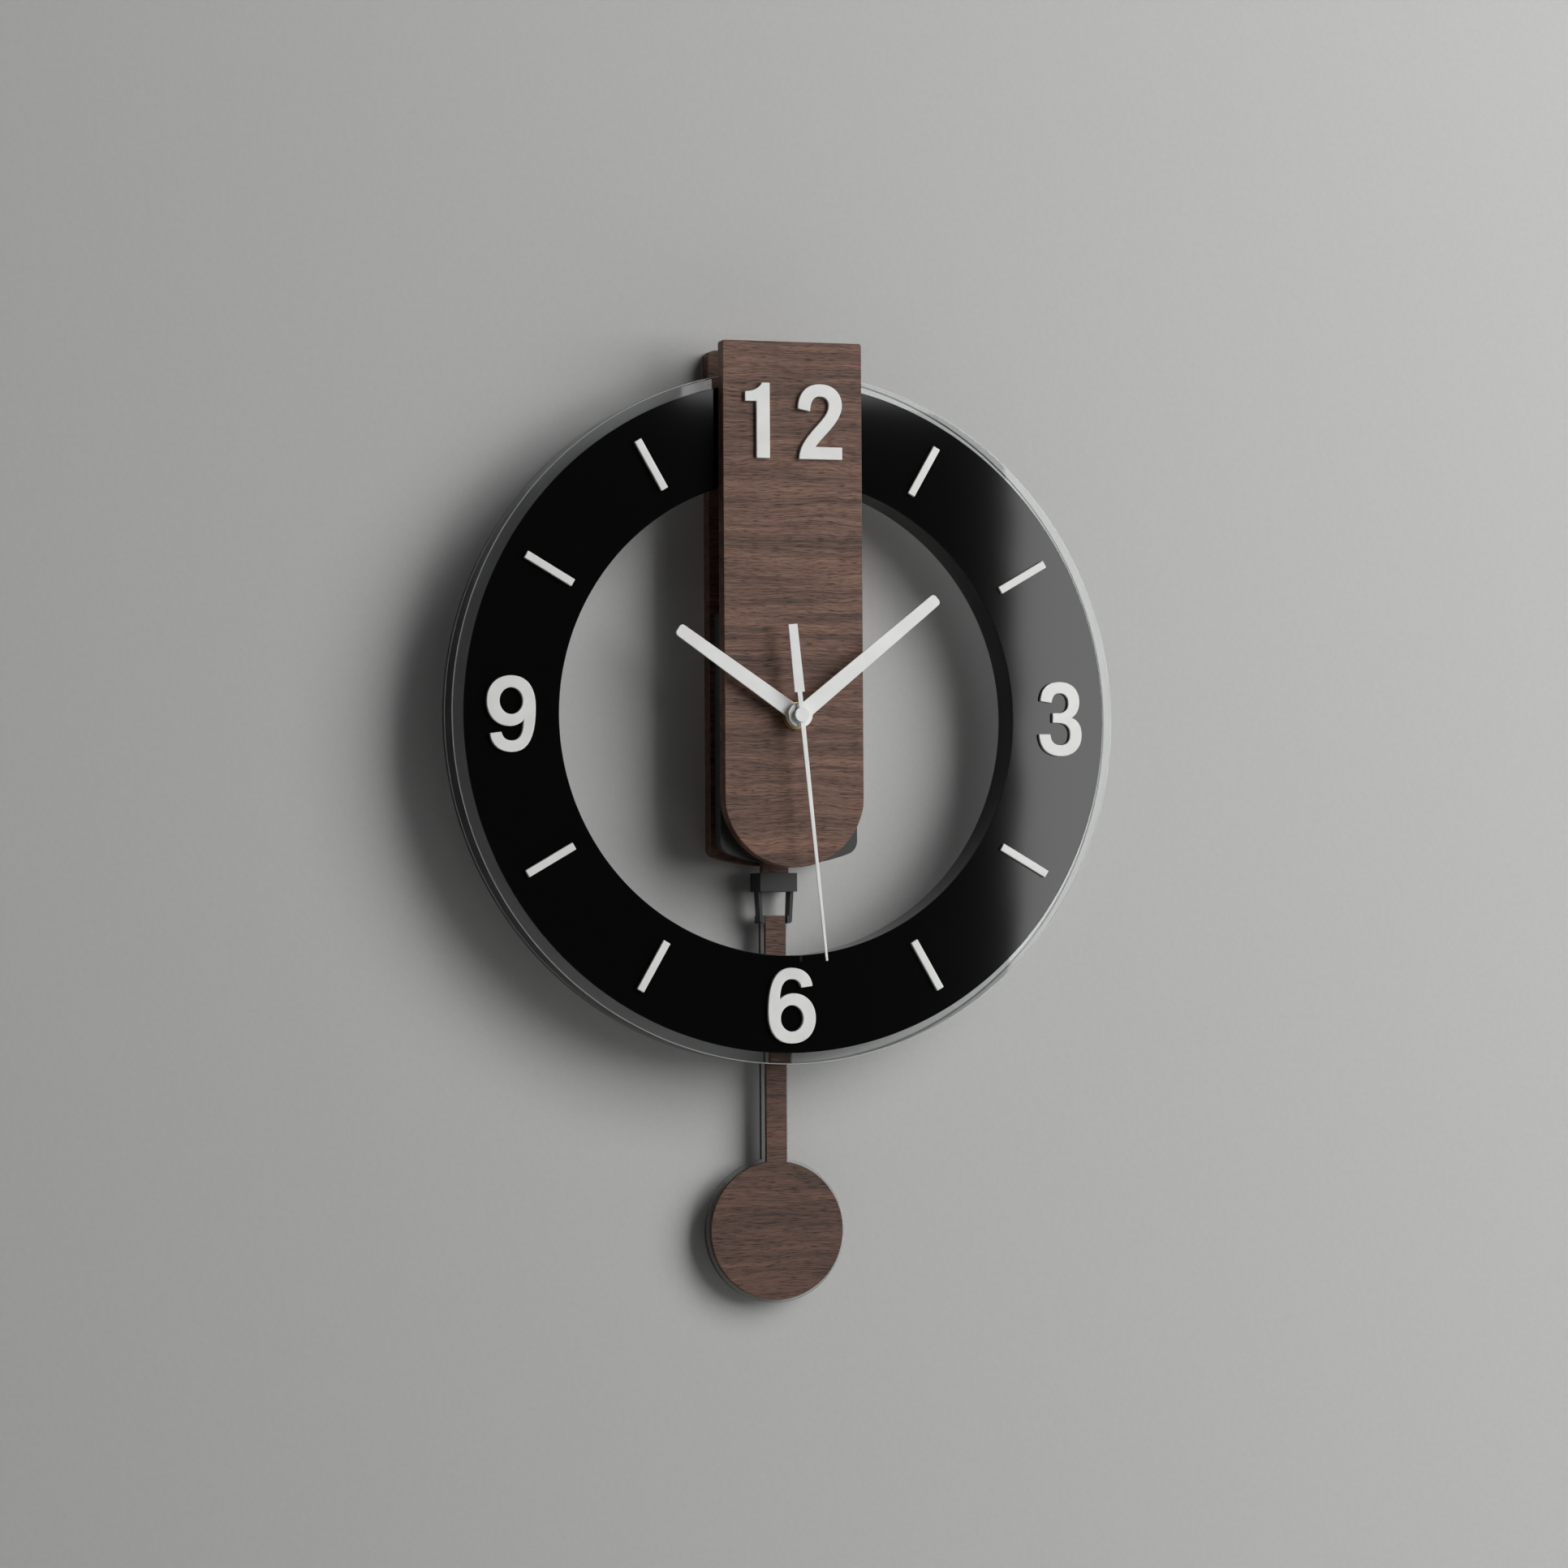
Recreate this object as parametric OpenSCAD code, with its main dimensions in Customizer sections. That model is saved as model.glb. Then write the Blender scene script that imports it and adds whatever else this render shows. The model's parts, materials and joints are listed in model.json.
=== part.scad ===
// Pendulum wall clock: walnut boards, a clear ring dial with a black face, and a quartz
// movement that turns three hands and drives a walnut-faced pendulum.
// Millimetres. X to the right, Z up, Y into the wall. The wall is the plane y = 0 and the
// origin is the point of the wall hook, at the top of the hanger's keyhole slot.
// "Depth" below means the distance out from the wall.

/* [Dial ring] */
// Outer diameter of the clear ring
ring_outer_d = 300; // [280:1:360]
// Outer diameter of the black face
face_outer_d = 290; // [270:1:350]
// Diameter of the hole in the ring
ring_hole_d = 206; // [190:1:247]
// Depth of the ring with its face
ring_t = 18; // [18:0.5:26]
// Thickness of the black face sheet
face_t = 1; // [0.6:0.1:2]
// Thickness of the black lining in the hole
lining_t = 1.2; // [0.8:0.1:2]
// Height of the hook above the hands' axis
hook_h = 138; // [126:1:142]

/* [Hour marks] */
// Length of an hour bar
tick_len = 24; // [12:1:30]
// Width of an hour bar
tick_w = 3.4; // [2:0.1:6]
// Thickness of the bars and numerals
mark_t = 1.8; // [1:0.1:3]
// Height of the numerals
digit_h = 32.6; // [20:0.2:36]

/* [Front board] */
// Width of the front board
front_w = 63; // [58:0.5:76]
// Height of the front board above the hands' axis
front_above = 161.5; // [158:0.5:190]
// Length of the front board below the hands' axis
front_below = 65.2; // [60:0.2:80]
// Thickness of the front board
front_t = 7; // [5.9:0.1:10]
// Height of the arch at the front board's lower end
front_arch_h = 29; // [24:0.5:30]

/* [Back board] */
// Width of the back board
back_w = 56; // [54:0.5:67]
// Height of the back board above the hands' axis
back_above = 160.5; // [157:0.5:190]
// Length of the back board below the hands' axis
back_below = 64; // [60:0.2:80]
// Thickness of the back board
back_t = 8; // [8:0.1:12]

/* [Hanger] */
// Diameter of the keyhole's entry hole
key_hole_d = 9; // [8:0.1:10.8]
// Width of the keyhole's slot
key_slot_w = 4.6; // [3.9:0.1:5.5]
// Distance from the hook down to the entry hole
key_drop = 10; // [8.4:0.1:12]
// Thickness of the hanger plate
hanger_t = 1.2; // [1:0.1:1.6]

/* [Movement case] */
// Width of the movement case
case_w = 62; // [62:0.5:74.5]
// Height of the case above the hands' axis
case_above = 46; // [46:0.5:56]
// Length of the case below the hands' axis
case_below = 64; // [62:0.5:77]
// Wall of the case
case_wall = 1.5; // [1.3:0.1:1.8]
// Thickness of the rubber washer in front of the case
washer_t = 1; // [0.5:0.1:1.5]

/* [Hands] */
// Length of the hour hand from the axis
hour_len = 65; // [50:1:78]
// Length of the minute hand from the axis
minute_len = 81; // [65:1:97]
// Length of the second hand from the axis
second_len = 106; // [85:1:115]
// Length of the second hand's tail
tail_len = 39; // [25:1:45]
// Width of the hour hand at the axis
hour_w = 7; // [5:0.1:8.4]
// Width of the minute hand at the axis
minute_w = 7; // [5:0.1:8.4]
// Hour that the hands show
show_hour = 10; // [0:1:11]
// Minute that the hands show
show_minute = 8.484; // [0:0.001:59.9]

/* [Pendulum] */
// Height of the pendulum's pivot above the hands' axis
pivot_up = 6; // [2:1:12]
// Width of the pendulum's arm
arm_w = 12.4; // [10:0.1:14]
// Thickness of the pendulum's arm
arm_t = 3; // [2.5:0.1:3.6]
// Width of the walnut strip on the rod
rod_w = 9.3; // [8:0.1:11]
// Radius of the walnut disc
bob_r = 30; // [25:0.5:36]
// Depth of the disc's centre below the hands' axis
bob_down = 222; // [205:1:266]
// Margin of the clear sheet round the walnut
clear_margin = 1.4; // [1:0.1:2]
// Thickness of the clear sheet
clear_t = 3; // [2:0.1:3.6]
// Thickness of the walnut sheet on the pendulum
veneer_t = 2.5; // [1.5:0.1:3]

/* [Hidden] */
$fn = 64;

// Finishes
walnut = [0.36, 0.25, 0.21];
walnut_dark = [0.27, 0.18, 0.15];
black_gloss = [0.03, 0.03, 0.03];
black_satin = [0.16, 0.16, 0.16];
clear_tint = [0.85, 0.88, 0.88, 0.35];
white_paint = [0.9, 0.9, 0.89];
brass_tone = [0.75, 0.62, 0.32];
steel_tone = [0.7, 0.71, 0.72];
gear_white = [0.88, 0.87, 0.82];
gear_dark = [0.25, 0.25, 0.27];
copper_tone = [0.72, 0.4, 0.22];
circuit_green = [0.12, 0.35, 0.2];
cell_grey = [0.2, 0.22, 0.26];

// Small clearances
fit_gap = 0.05;      // radial, shaft in its bearing
loose_gap = 0.2;     // between a loose part and its pocket

// Stack of depths, from the wall outwards
arm_back = back_t + 0.8;
arm_front = arm_back + arm_t;
case_back = arm_front + 1.2;
ring_back = case_back + 1.5;
ring_front = ring_back + ring_t;
case_front = ring_front - washer_t;
board_front = ring_front + front_t;
rod_front = ring_back - 2.5;
rod_mid = rod_front - veneer_t;
rod_back = rod_mid - clear_t;

// Inside of the case: a box, and a wider rim behind the front board
cover_t = 1.5;
inner_back = case_back + cover_t;
inner_front = case_front - case_wall;
rim_back = case_front - 4;
step_w = 3.5;
box_w = case_w - 2 * step_w;

// Layers of the wheel train, measured back from the inside of the case front
wheel_t = 1;
hour_layer = inner_front - 3.6;
motion_layer = inner_front - 6.2;
plate_layer = inner_front - 7.4;
centre_layer = inner_front - 9;
third_layer = inner_front - 11.2;
second_layer = inner_front - 13;
first_layer = inner_front - 14.4;
motion_t = 1.4;
plate_t = 0.8;

// Gear teeth and modules (train from rotor to minute pipe, then the motion work)
pinion_n = 8;
first_n = 48;
second_n = 40;
third_n = 60;
centre_n = 64;
first_m = 0.3;
second_m = 0.36;
centre_m = 0.24;
third_m = centre_m * (pinion_n + centre_n) / (pinion_n + third_n);
cannon_n = 10;
motion_n = 30;
hour_n = 40;
setting_n = round(case_w) - 40;
cannon_m = 0.5;
hour_m = 0.4;

// Axes of the train, as [x, z] from the hands' axis
third_at = [0, (pinion_n + third_n) / 2 * third_m];
first_dir = 215;
first_r = (pinion_n + second_n) / 2 * second_m;
first_at = first_r * [cos(first_dir), sin(first_dir)];
rotor_r = (pinion_n + first_n) / 2 * first_m;
rotor_at = first_at + rotor_r * [cos(first_dir), sin(first_dir)];
motion_at = [(cannon_n + motion_n) / 2 * cannon_m, 0];
setting_at = motion_at + [(motion_n + setting_n) / 2 * cannon_m, 0];

// Shafts and pipes on the hands' axis
second_shaft_r = 0.6;
minute_pipe_r = 1.85;
hour_pipe_r = 2.75;
bush_r = 4;
nut_r = 5.9;
nut_t = 2.8;
arbor_r = 0.5;
post_r = 1;

// Layers of the hands
hand_t = 0.8;
hour_hand_at = board_front + nut_t + 2.1;
minute_hand_at = hour_hand_at + 2.7;
second_hand_at = minute_hand_at + 2.7;
hub_r = 5.4;

// Pendulum
pivot_r = 1.5;
bushing_r = 2.6;
yoke_top = -case_below - 3.1;
yoke_box_h = 8.1;
yoke_box_w = 16.8;
yoke_foot = yoke_top - 21.8;
yoke_wall = 1.2;
rod_top = yoke_foot + 3.4;

// Battery
battery_r = 7.1;
battery_len = 50.5;
battery_up = case_above - case_wall - battery_r - 1.9;
battery_depth = (inner_back + inner_front) / 2;
bay_r = battery_r + 0.6;
door_t = 1.4;

// ---------- helpers ----------

// Solid between two depths, from an outline drawn in the X-Z plane
module slab(from, to) {
    rotate([90, 0, 0])
        translate([0, 0, from])
            linear_extrude(to - from)
                children();
}

// Places the X-Z outline or solid at a point given from the hands' axis
module at_axis(at = [0, 0]) {
    translate([at[0], 0, at[1] - hook_h])
        children();
}

module rod_between(r, from, to) {
    rotate([90, 0, 0])
        translate([0, 0, from])
            cylinder(h = to - from, r = r);
}

module tube_between(r_out, r_in, from, to) {
    difference() {
        rod_between(r_out, from, to);
        rod_between(r_in, from - 1, to + 1);
    }
}

// Points on an arc, both ends included
function arc(centre, r, a0, a1, n) =
    [for (i = [0:n]) centre + r * [cos(a0 + (a1 - a0) * i / n), sin(a0 + (a1 - a0) * i / n)]];

// Points on a cubic curve, first end left out
function curve(p0, p1, p2, p3, n = 10) =
    [for (i = [1:n])
        let (t = i / n, s = 1 - t)
        s * s * s * p0 + 3 * s * s * t * p1 + 3 * s * t * t * p2 + t * t * t * p3];

// Board with small upper corners and a three-centred arch at its lower end
function arch_board(w, above, below, arch_h, side_r, top_r) =
    let (
        half = w / 2,
        crown_r = (pow(half - side_r, 2) + pow(arch_h, 2) - pow(side_r, 2))
            / (2 * (arch_h - side_r)),
        spring = -below + arch_h,
        crown = [0, spring + crown_r - arch_h],
        turn = atan2(half - side_r, crown[1] - spring)
    )
    concat(
        arc([half - top_r, above - top_r], top_r, 0, 90, 4),
        arc([-half + top_r, above - top_r], top_r, 90, 180, 4),
        arc([-half + side_r, spring], side_r, 180, 270 - turn, 20),
        [for (i = [1:23]) crown + crown_r
            * [cos(270 - turn + 2 * turn * i / 24), sin(270 - turn + 2 * turn * i / 24)]],
        arc([half - side_r, spring], side_r, 270 + turn, 360, 20)
    );

// Gear outline: slim straight-sided teeth with room to turn
module gear_outline(n, m, phase = 0, root = 1.1) {
    tip_r = n * m / 2 + 0.75 * m;
    root_r = n * m / 2 - root * m;
    tip_a = 0.1 * 360 / n;
    root_a = 0.2 * 360 / n;
    polygon([for (i = [0:n - 1]) let (a = phase + i * 360 / n)
        each [
            root_r * [cos(a - root_a), sin(a - root_a)],
            tip_r * [cos(a - tip_a), sin(a - tip_a)],
            tip_r * [cos(a + tip_a), sin(a + tip_a)],
            root_r * [cos(a + root_a), sin(a + root_a)]
        ]]);
}

// Phase that puts a gear in mesh with one that stands in direction dir from it
function mesh_phase(phase, n_from, n_to, dir) =
    dir + 180 - (0.5 - (dir - phase) * n_from / 360) * 360 / n_to;

third_phase = mesh_phase(0, pinion_n, third_n, 90);
centre_phase = mesh_phase(0, pinion_n, centre_n, -90);
first_pinion_phase = mesh_phase(0, second_n, pinion_n, first_dir);
rotor_phase = mesh_phase(0, first_n, pinion_n, first_dir);
motion_phase = mesh_phase(0, cannon_n, motion_n, 0);
hour_phase = mesh_phase(0, cannon_n, hour_n, 180);
setting_phase = mesh_phase(motion_phase, motion_n, setting_n, 0);

// Screw with a countersunk head that faces the wall
module wall_screw(r, head_r, head_at, tip) {
    rod_between(r, head_at, tip);
    rotate([90, 0, 0])
        translate([0, 0, head_at])
            cylinder(h = head_r - r, r1 = head_r, r2 = r);
}

// ---------- boards and hanger ----------

back_arch_h = 7.6;
back_side_r = 4;
board_top_r = 3;
front_side_r = 20;
ring_screw_x = 17;
ring_screw_r = 1.9;
ring_screw_up = (ring_hole_d + face_outer_d) / 4 - 6;
ring_screw_in = 9;
hanger_h = 20;
hanger_up = -key_drop / 2;
// The plate is wide where the ring's screws pass below it, and fits between them where they don't
screws_below = hook_h + hanger_up - hanger_h / 2 - ring_screw_up > 2 * (ring_screw_r + loose_gap);
hanger_w = screws_below ? back_w - 12 : 2 * (ring_screw_x - 2 * (ring_screw_r + loose_gap));
hanger_hole_x = hanger_w / 2 - (screws_below ? 5 : 3.2);
hanger_screw_r = 1.4;
head_room_r = 8;
standoff_r = 3.5;
standoff_at = [back_w / 2 - 6, 13 - back_below];
standoff_screw_r = 1.4;

module hanger_plan() {
    square([hanger_w, hanger_h], center = true);
}

module back_board() {
    color(walnut_dark)
    difference() {
        at_axis()
            slab(0, back_t)
                polygon(arch_board(back_w, back_above, back_below, back_arch_h, back_side_r,
                    board_top_r));
        translate([0, 0, hanger_up])
            slab(-1, hanger_t + loose_gap)
                square([hanger_w + 2 * loose_gap, hanger_h + 2 * loose_gap], center = true);
        for (z = [0, -key_drop])
            translate([0, 0, z])
                rod_between(head_room_r, -1, back_t - 2);
        for (s = [-1, 1])
            translate([s * hanger_hole_x, 0, hanger_up])
                rod_between(hanger_screw_r, 0, back_t - 1.4);
        for (s = [-1, 1])
            at_axis([s * ring_screw_x, ring_screw_up])
                wall_screw(ring_screw_r + loose_gap, 2 * ring_screw_r + loose_gap, 0, back_t + 1);
        for (s = [-1, 1])
            at_axis([s * standoff_at[0], standoff_at[1]])
                wall_screw(standoff_screw_r + loose_gap, 2 * standoff_screw_r + loose_gap,
                    0, back_t + 1);
    }
}

module hanger_plate() {
    color(steel_tone)
    difference() {
        translate([0, 0, hanger_up])
            slab(loose_gap, hanger_t + loose_gap)
                hanger_plan();
        translate([0, 0, -key_drop])
            rod_between(key_hole_d / 2, -1, back_t);
        rod_between(key_slot_w / 2, -1, back_t);
        slab(-1, back_t)
            translate([-key_slot_w / 2, -key_drop])
                square([key_slot_w, key_drop]);
        for (s = [-1, 1])
            translate([s * hanger_hole_x, 0, hanger_up])
                wall_screw(hanger_screw_r, 2.4, loose_gap, back_t);
    }
}

module hanger_screws() {
    color(steel_tone)
    for (s = [-1, 1])
        translate([s * hanger_hole_x, 0, hanger_up])
            wall_screw(hanger_screw_r, 2.4, loose_gap, back_t - 1.6);
}

module front_board() {
    color(walnut)
    difference() {
        at_axis()
            slab(ring_front, board_front)
                polygon(arch_board(front_w, front_above, front_below, front_arch_h, front_side_r, 1));
        at_axis()
            rod_between(bush_r + loose_gap, ring_front - 1, board_front + 1);
    }
}

// ---------- dial ----------

module dial_ring() {
    color(clear_tint)
    difference() {
        at_axis()
            tube_between(ring_outer_d / 2, ring_hole_d / 2 + lining_t,
                ring_back, ring_front - face_t);
        for (s = [-1, 1])
            at_axis([s * ring_screw_x, ring_screw_up])
                rod_between(ring_screw_r, ring_back - 1, ring_back + ring_screw_in);
    }
}

module dial_face() {
    color(black_gloss)
    at_axis()
        tube_between(face_outer_d / 2, ring_hole_d / 2, ring_front - face_t, ring_front);
}

module dial_lining() {
    color(black_gloss)
    at_axis()
        tube_between(ring_hole_d / 2 + lining_t, ring_hole_d / 2,
            ring_back, ring_front - face_t);
}

mark_ring_r = (ring_hole_d + face_outer_d) / 4;

module hour_bars() {
    color(white_paint)
    for (h = [1, 2, 4, 5, 7, 8, 10, 11])
        at_axis()
            slab(ring_front, ring_front + mark_t)
                rotate(-30 * h)
                    translate([-tick_w / 2, mark_ring_r - tick_len / 2])
                        square([tick_w, tick_len]);
}

// Numerals are drawn in a box 32.6 high, centred on the origin
digit_scale = digit_h / 32.6;

module digit_1() {
    polygon(concat(
        [[5.6, -16.3], [5.6, 16.3], [2, 16.3]],
        curve([2, 16.3], [0.9, 13.9], [-1.8, 12.5], [-5.6, 12.4], 8),
        [[-5.6, 8.2], [-0.5, 8.2], [-0.5, -16.3]]
    ));
}

module digit_2() {
    polygon(concat(
        [[-10, 5.5], [-4.4, 4.3]],
        curve([-4.4, 4.3], [-4.2, 8.6], [-2.9, 10.9], [0, 10.9]),
        curve([0, 10.9], [2.6, 10.9], [4, 9.4], [4, 7]),
        curve([4, 7], [4, 0.4], [-9.6, -6], [-9.6, -16.3], 14),
        [[10.1, -16.3], [10.1, -10.9], [-2, -10.9]],
        curve([-2, -10.9], [1.4, -5.9], [10.1, 0.2], [10.1, 7.3], 14),
        curve([10.1, 7.3], [10.1, 12.7], [6.2, 16.3], [0.3, 16.3]),
        curve([0.3, 16.3], [-6, 16.3], [-10, 12.4], [-10, 5.5])
    ));
}

module digit_3() {
    polygon(concat(
        [[-9.3, 7.8], [-4, 7]],
        curve([-4, 7], [-3.7, 9.8], [-2.6, 11.3], [-0.3, 11.3]),
        curve([-0.3, 11.3], [2.2, 11.3], [3.7, 9.8], [3.7, 7]),
        curve([3.7, 7], [3.7, 3.9], [1.8, 2.6], [-1.4, 2.6]),
        [[-3.6, 2.6], [-3.6, -1.7], [-1.2, -1.7]],
        curve([-1.2, -1.7], [2.4, -1.7], [4.5, -3.3], [4.5, -6.6]),
        curve([4.5, -6.6], [4.5, -9.7], [2.9, -11.4], [-0.2, -11.4]),
        curve([-0.2, -11.4], [-2.9, -11.4], [-4.4, -9.8], [-4.6, -6.7]),
        [[-10, -6.7]],
        curve([-10, -6.7], [-9.9, -12.8], [-6.1, -16.3], [0, -16.3]),
        curve([0, -16.3], [6.2, -16.3], [10, -12.7], [10, -6.8]),
        curve([10, -6.8], [10, -2.9], [8.4, -0.4], [5.4, 0.6]),
        curve([5.4, 0.6], [7.8, 2], [9, 4.5], [9, 7.7]),
        curve([9, 7.7], [9, 13], [5.6, 16.3], [-0.3, 16.3]),
        curve([-0.3, 16.3], [-5.8, 16.3], [-9.1, 13.4], [-9.3, 7.8])
    ));
}

module digit_9() {
    difference() {
        polygon(concat(
            [[-9.4, -8.4], [-4.3, -7.7]],
            curve([-4.3, -7.7], [-3.8, -10.2], [-2.4, -11.4], [0.2, -11.4]),
            curve([0.2, -11.4], [3.6, -11.4], [5.3, -8.4], [5.4, -2.7]),
            curve([5.4, -2.7], [3.8, -4.4], [1.7, -5.3], [-0.7, -5.3]),
            curve([-0.7, -5.3], [-6.6, -5.3], [-10.8, -0.9], [-10.8, 5.4]),
            curve([-10.8, 5.4], [-10.8, 11.9], [-6.5, 16.3], [0, 16.3]),
            curve([0, 16.3], [7, 16.3], [10.8, 11.5], [10.8, 2.9]),
            curve([10.8, 2.9], [10.8, -9.6], [7.6, -16.3], [0.2, -16.3]),
            curve([0.2, -16.3], [-5.4, -16.3], [-8.9, -13.2], [-9.4, -8.4])
        ));
        polygon([for (i = [0:31])
            [5.1 * cos(i * 360 / 32), 5.5 + 5.7 * sin(i * 360 / 32)]]);
    }
}

module mark_on(depth, at) {
    color(white_paint)
    at_axis(at)
        slab(depth, depth + mark_t)
            scale(digit_scale)
                children();
}

module numeral_12() {
    mark_on(board_front, [0, mark_ring_r + 3]) {
        translate([-16.4, 0])
            digit_1();
        translate([11.9, 0])
            digit_2();
    }
}

module numeral_3() {
    mark_on(ring_front, [mark_ring_r + 0.6, 0])
        digit_3();
}

module numeral_6() {
    mark_on(ring_front, [0, -mark_ring_r - 0.6])
        rotate(180)
            digit_9();
}

module numeral_9() {
    mark_on(ring_front, [-mark_ring_r - 0.6, 0])
        digit_9();
}

// ---------- fixings between the boards ----------

module ring_spacers() {
    color(black_satin)
    for (s = [-1, 1])
        at_axis([s * ring_screw_x, ring_screw_up])
            tube_between(5.5, ring_screw_r + loose_gap, back_t, ring_back);
}

module ring_screws() {
    color(steel_tone)
    for (s = [-1, 1])
        at_axis([s * ring_screw_x, ring_screw_up])
            wall_screw(ring_screw_r, 2 * ring_screw_r, loose_gap, ring_back + ring_screw_in - 1);
}

module case_standoffs() {
    color(black_satin)
    for (s = [-1, 1])
        at_axis([s * standoff_at[0], standoff_at[1]])
            tube_between(standoff_r, standoff_screw_r + loose_gap, back_t, case_back);
}

module standoff_screws() {
    color(steel_tone)
    for (s = [-1, 1])
        at_axis([s * standoff_at[0], standoff_at[1]])
            wall_screw(standoff_screw_r, 2 * standoff_screw_r, loose_gap, inner_back + 3.2);
}

// ---------- movement case ----------

cover_screw_r = 1.1;
boss_r = 2.6;
cover_screw_at = [
    for (s = [-1, 1]) [s * (box_w / 2 - 4.6), 21],
    for (s = [-1, 1]) [s * (box_w / 2 - 4.6), -30]
];

case_arch_h = 10.5;
case_side_r = 6;
case_top_r = 3;
bay_wall_r = (case_front - case_back) / 2;

// Outlines of the case: its rim in front, and its box, narrower by step_w
module case_plan(inset = 0) {
    polygon(arch_board(case_w - 2 * inset, case_above - inset, case_below - inset,
        case_arch_h - inset, case_side_r - inset, case_top_r));
}

module box_plan(inset = 0) {
    polygon(arch_board(box_w - 2 * inset, case_above - inset, case_below - step_w - inset,
        case_arch_h - step_w - inset, case_side_r - step_w - inset, case_top_r));
}

module movement_case() {
    color(black_satin)
    difference() {
        union() {
            difference() {
                union() {
                    at_axis()
                        slab(rim_back, case_front)
                            case_plan();
                    at_axis()
                        slab(case_back, rim_back)
                            box_plan();
                    at_axis([0, battery_up])
                        translate([box_w / 2 - case_wall, -battery_depth, 0])
                            rotate([0, 90, 0])
                                cylinder(h = step_w + case_wall, r = bay_wall_r);
                }
                at_axis()
                    slab(case_back - 1, inner_front)
                        box_plan(case_wall);
            }
            for (p = cover_screw_at)
                at_axis(p)
                    rod_between(boss_r, inner_back, inner_front + 0.5);
            for (s = [-1, 1])
                at_axis([s * standoff_at[0], standoff_at[1]])
                    rod_between(boss_r, inner_back, inner_front + 0.5);
            at_axis(setting_at)
                rod_between(post_r, motion_layer - 1.4, inner_front + 0.5);
        }
        at_axis()
            rod_between(bush_r, inner_front - 1, case_front + 1);
        for (p = cover_screw_at)
            at_axis(p)
                rod_between(cover_screw_r, case_back, inner_back + 6);
        for (s = [-1, 1])
            at_axis([s * standoff_at[0], standoff_at[1]])
                rod_between(standoff_screw_r, case_back, inner_back + 5);
        at_axis(setting_at)
            slab(motion_layer - 0.5, hour_layer + 2.1)
                translate([0, -setting_rim_r - 0.5])
                    square([case_w, 2 * setting_rim_r + 1]);
        at_axis([0, battery_up])
            translate([box_w / 2 - 2 * case_wall, -battery_depth, 0])
                rotate([0, 90, 0])
                    cylinder(h = step_w + 3 * case_wall, r = bay_r);
    }
}

module case_back_cover() {
    color(black_satin)
    difference() {
        at_axis()
            slab(case_back, inner_back)
                box_plan(case_wall + 0.1);
        for (p = cover_screw_at)
            at_axis(p)
                rod_between(cover_screw_r + loose_gap, case_back - 1, inner_back + 1);
        for (s = [-1, 1])
            at_axis([s * standoff_at[0], standoff_at[1]])
                rod_between(standoff_screw_r + loose_gap, case_back - 1, inner_back + 1);
        at_axis([0, pivot_up])
            rod_between(pivot_r, case_back - 1, inner_back + 1);
        for (p = [first_at, rotor_at, third_at])
            at_axis(p)
                rod_between(arbor_r + fit_gap, case_back + 0.5, inner_back + 1);
    }
}

module cover_screws() {
    color(steel_tone)
    for (p = cover_screw_at)
        at_axis(p) {
            rod_between(cover_screw_r, case_back, inner_back + 5.5);
            rod_between(2.1, case_back - 0.9, case_back);
        }
}

pillar_at = [[16, -12], [16, 12], [-18, 12]];

module bearing_plate() {
    color(gear_white)
    difference() {
        union() {
            at_axis()
                slab(plate_layer, plate_layer + plate_t)
                    translate([-21.5, -16])
                        square([box_w / 2 + 19.4, 33]);
            for (p = pillar_at)
                at_axis(p)
                    rod_between(2, inner_back, plate_layer + plate_t);
            at_axis(motion_at)
                rod_between(post_r, plate_layer, inner_front - 1.2);
        }
        at_axis()
            rod_between(minute_pipe_r + 1.2, plate_layer - 1, plate_layer + plate_t + 1);
        for (p = [first_at, rotor_at, third_at])
            at_axis(p)
                rod_between(arbor_r + fit_gap, plate_layer - 1, plate_layer + plate_t + 1);
        at_axis(setting_at)
            rod_between(post_r, plate_layer - 1, plate_layer + plate_t + 1);
    }
}

module threaded_bush() {
    color(brass_tone)
    at_axis() {
        tube_between(bush_r, hour_pipe_r + fit_gap, inner_front - 1.4, board_front + nut_t + 0.5);
        tube_between(6.5, bush_r, inner_front - 1.4, inner_front);
    }
}

module rubber_washer() {
    color(black_satin)
    at_axis()
        tube_between(12, bush_r, case_front, ring_front);
}

module brass_nut() {
    color(brass_tone)
    at_axis()
        tube_between(nut_r, bush_r, board_front, board_front + nut_t);
}

// ---------- motor and wheel train ----------

coil_x = 4.5 - box_w / 2 + case_wall;
coil_len = 12.4;
stator_t = 0.8;
stator_h = 20;
stator_at = third_layer - 0.7;
magnet_r = 2.4;

module motor_stator() {
    color(steel_tone)
    difference() {
        at_axis(rotor_at)
            slab(stator_at, stator_at + stator_t) {
                translate([-4.6, -stator_h / 2])
                    square([9.2, stator_h]);
                for (z = [-stator_h / 2, coil_len / 2 + 0.1])
                    translate([coil_x - rotor_at[0] - 2, z])
                        square([-coil_x + rotor_at[0], (stator_h - coil_len) / 2 - 0.1]);
                translate([coil_x - rotor_at[0] - 1, -stator_h / 2])
                    square([2, stator_h]);
            }
        at_axis(rotor_at)
            rod_between(magnet_r + 0.5, stator_at - 1, stator_at + stator_t + 1);
    }
}

module motor_coil() {
    color(copper_tone)
    difference() {
        at_axis([coil_x, rotor_at[1]])
            translate([0, -stator_at - stator_t / 2, 0])
                cylinder(h = coil_len, r = 2.6, center = true);
        at_axis([coil_x, rotor_at[1]])
            slab(stator_at, stator_at + stator_t)
                square([2, coil_len + 1], center = true);
    }
}

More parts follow.
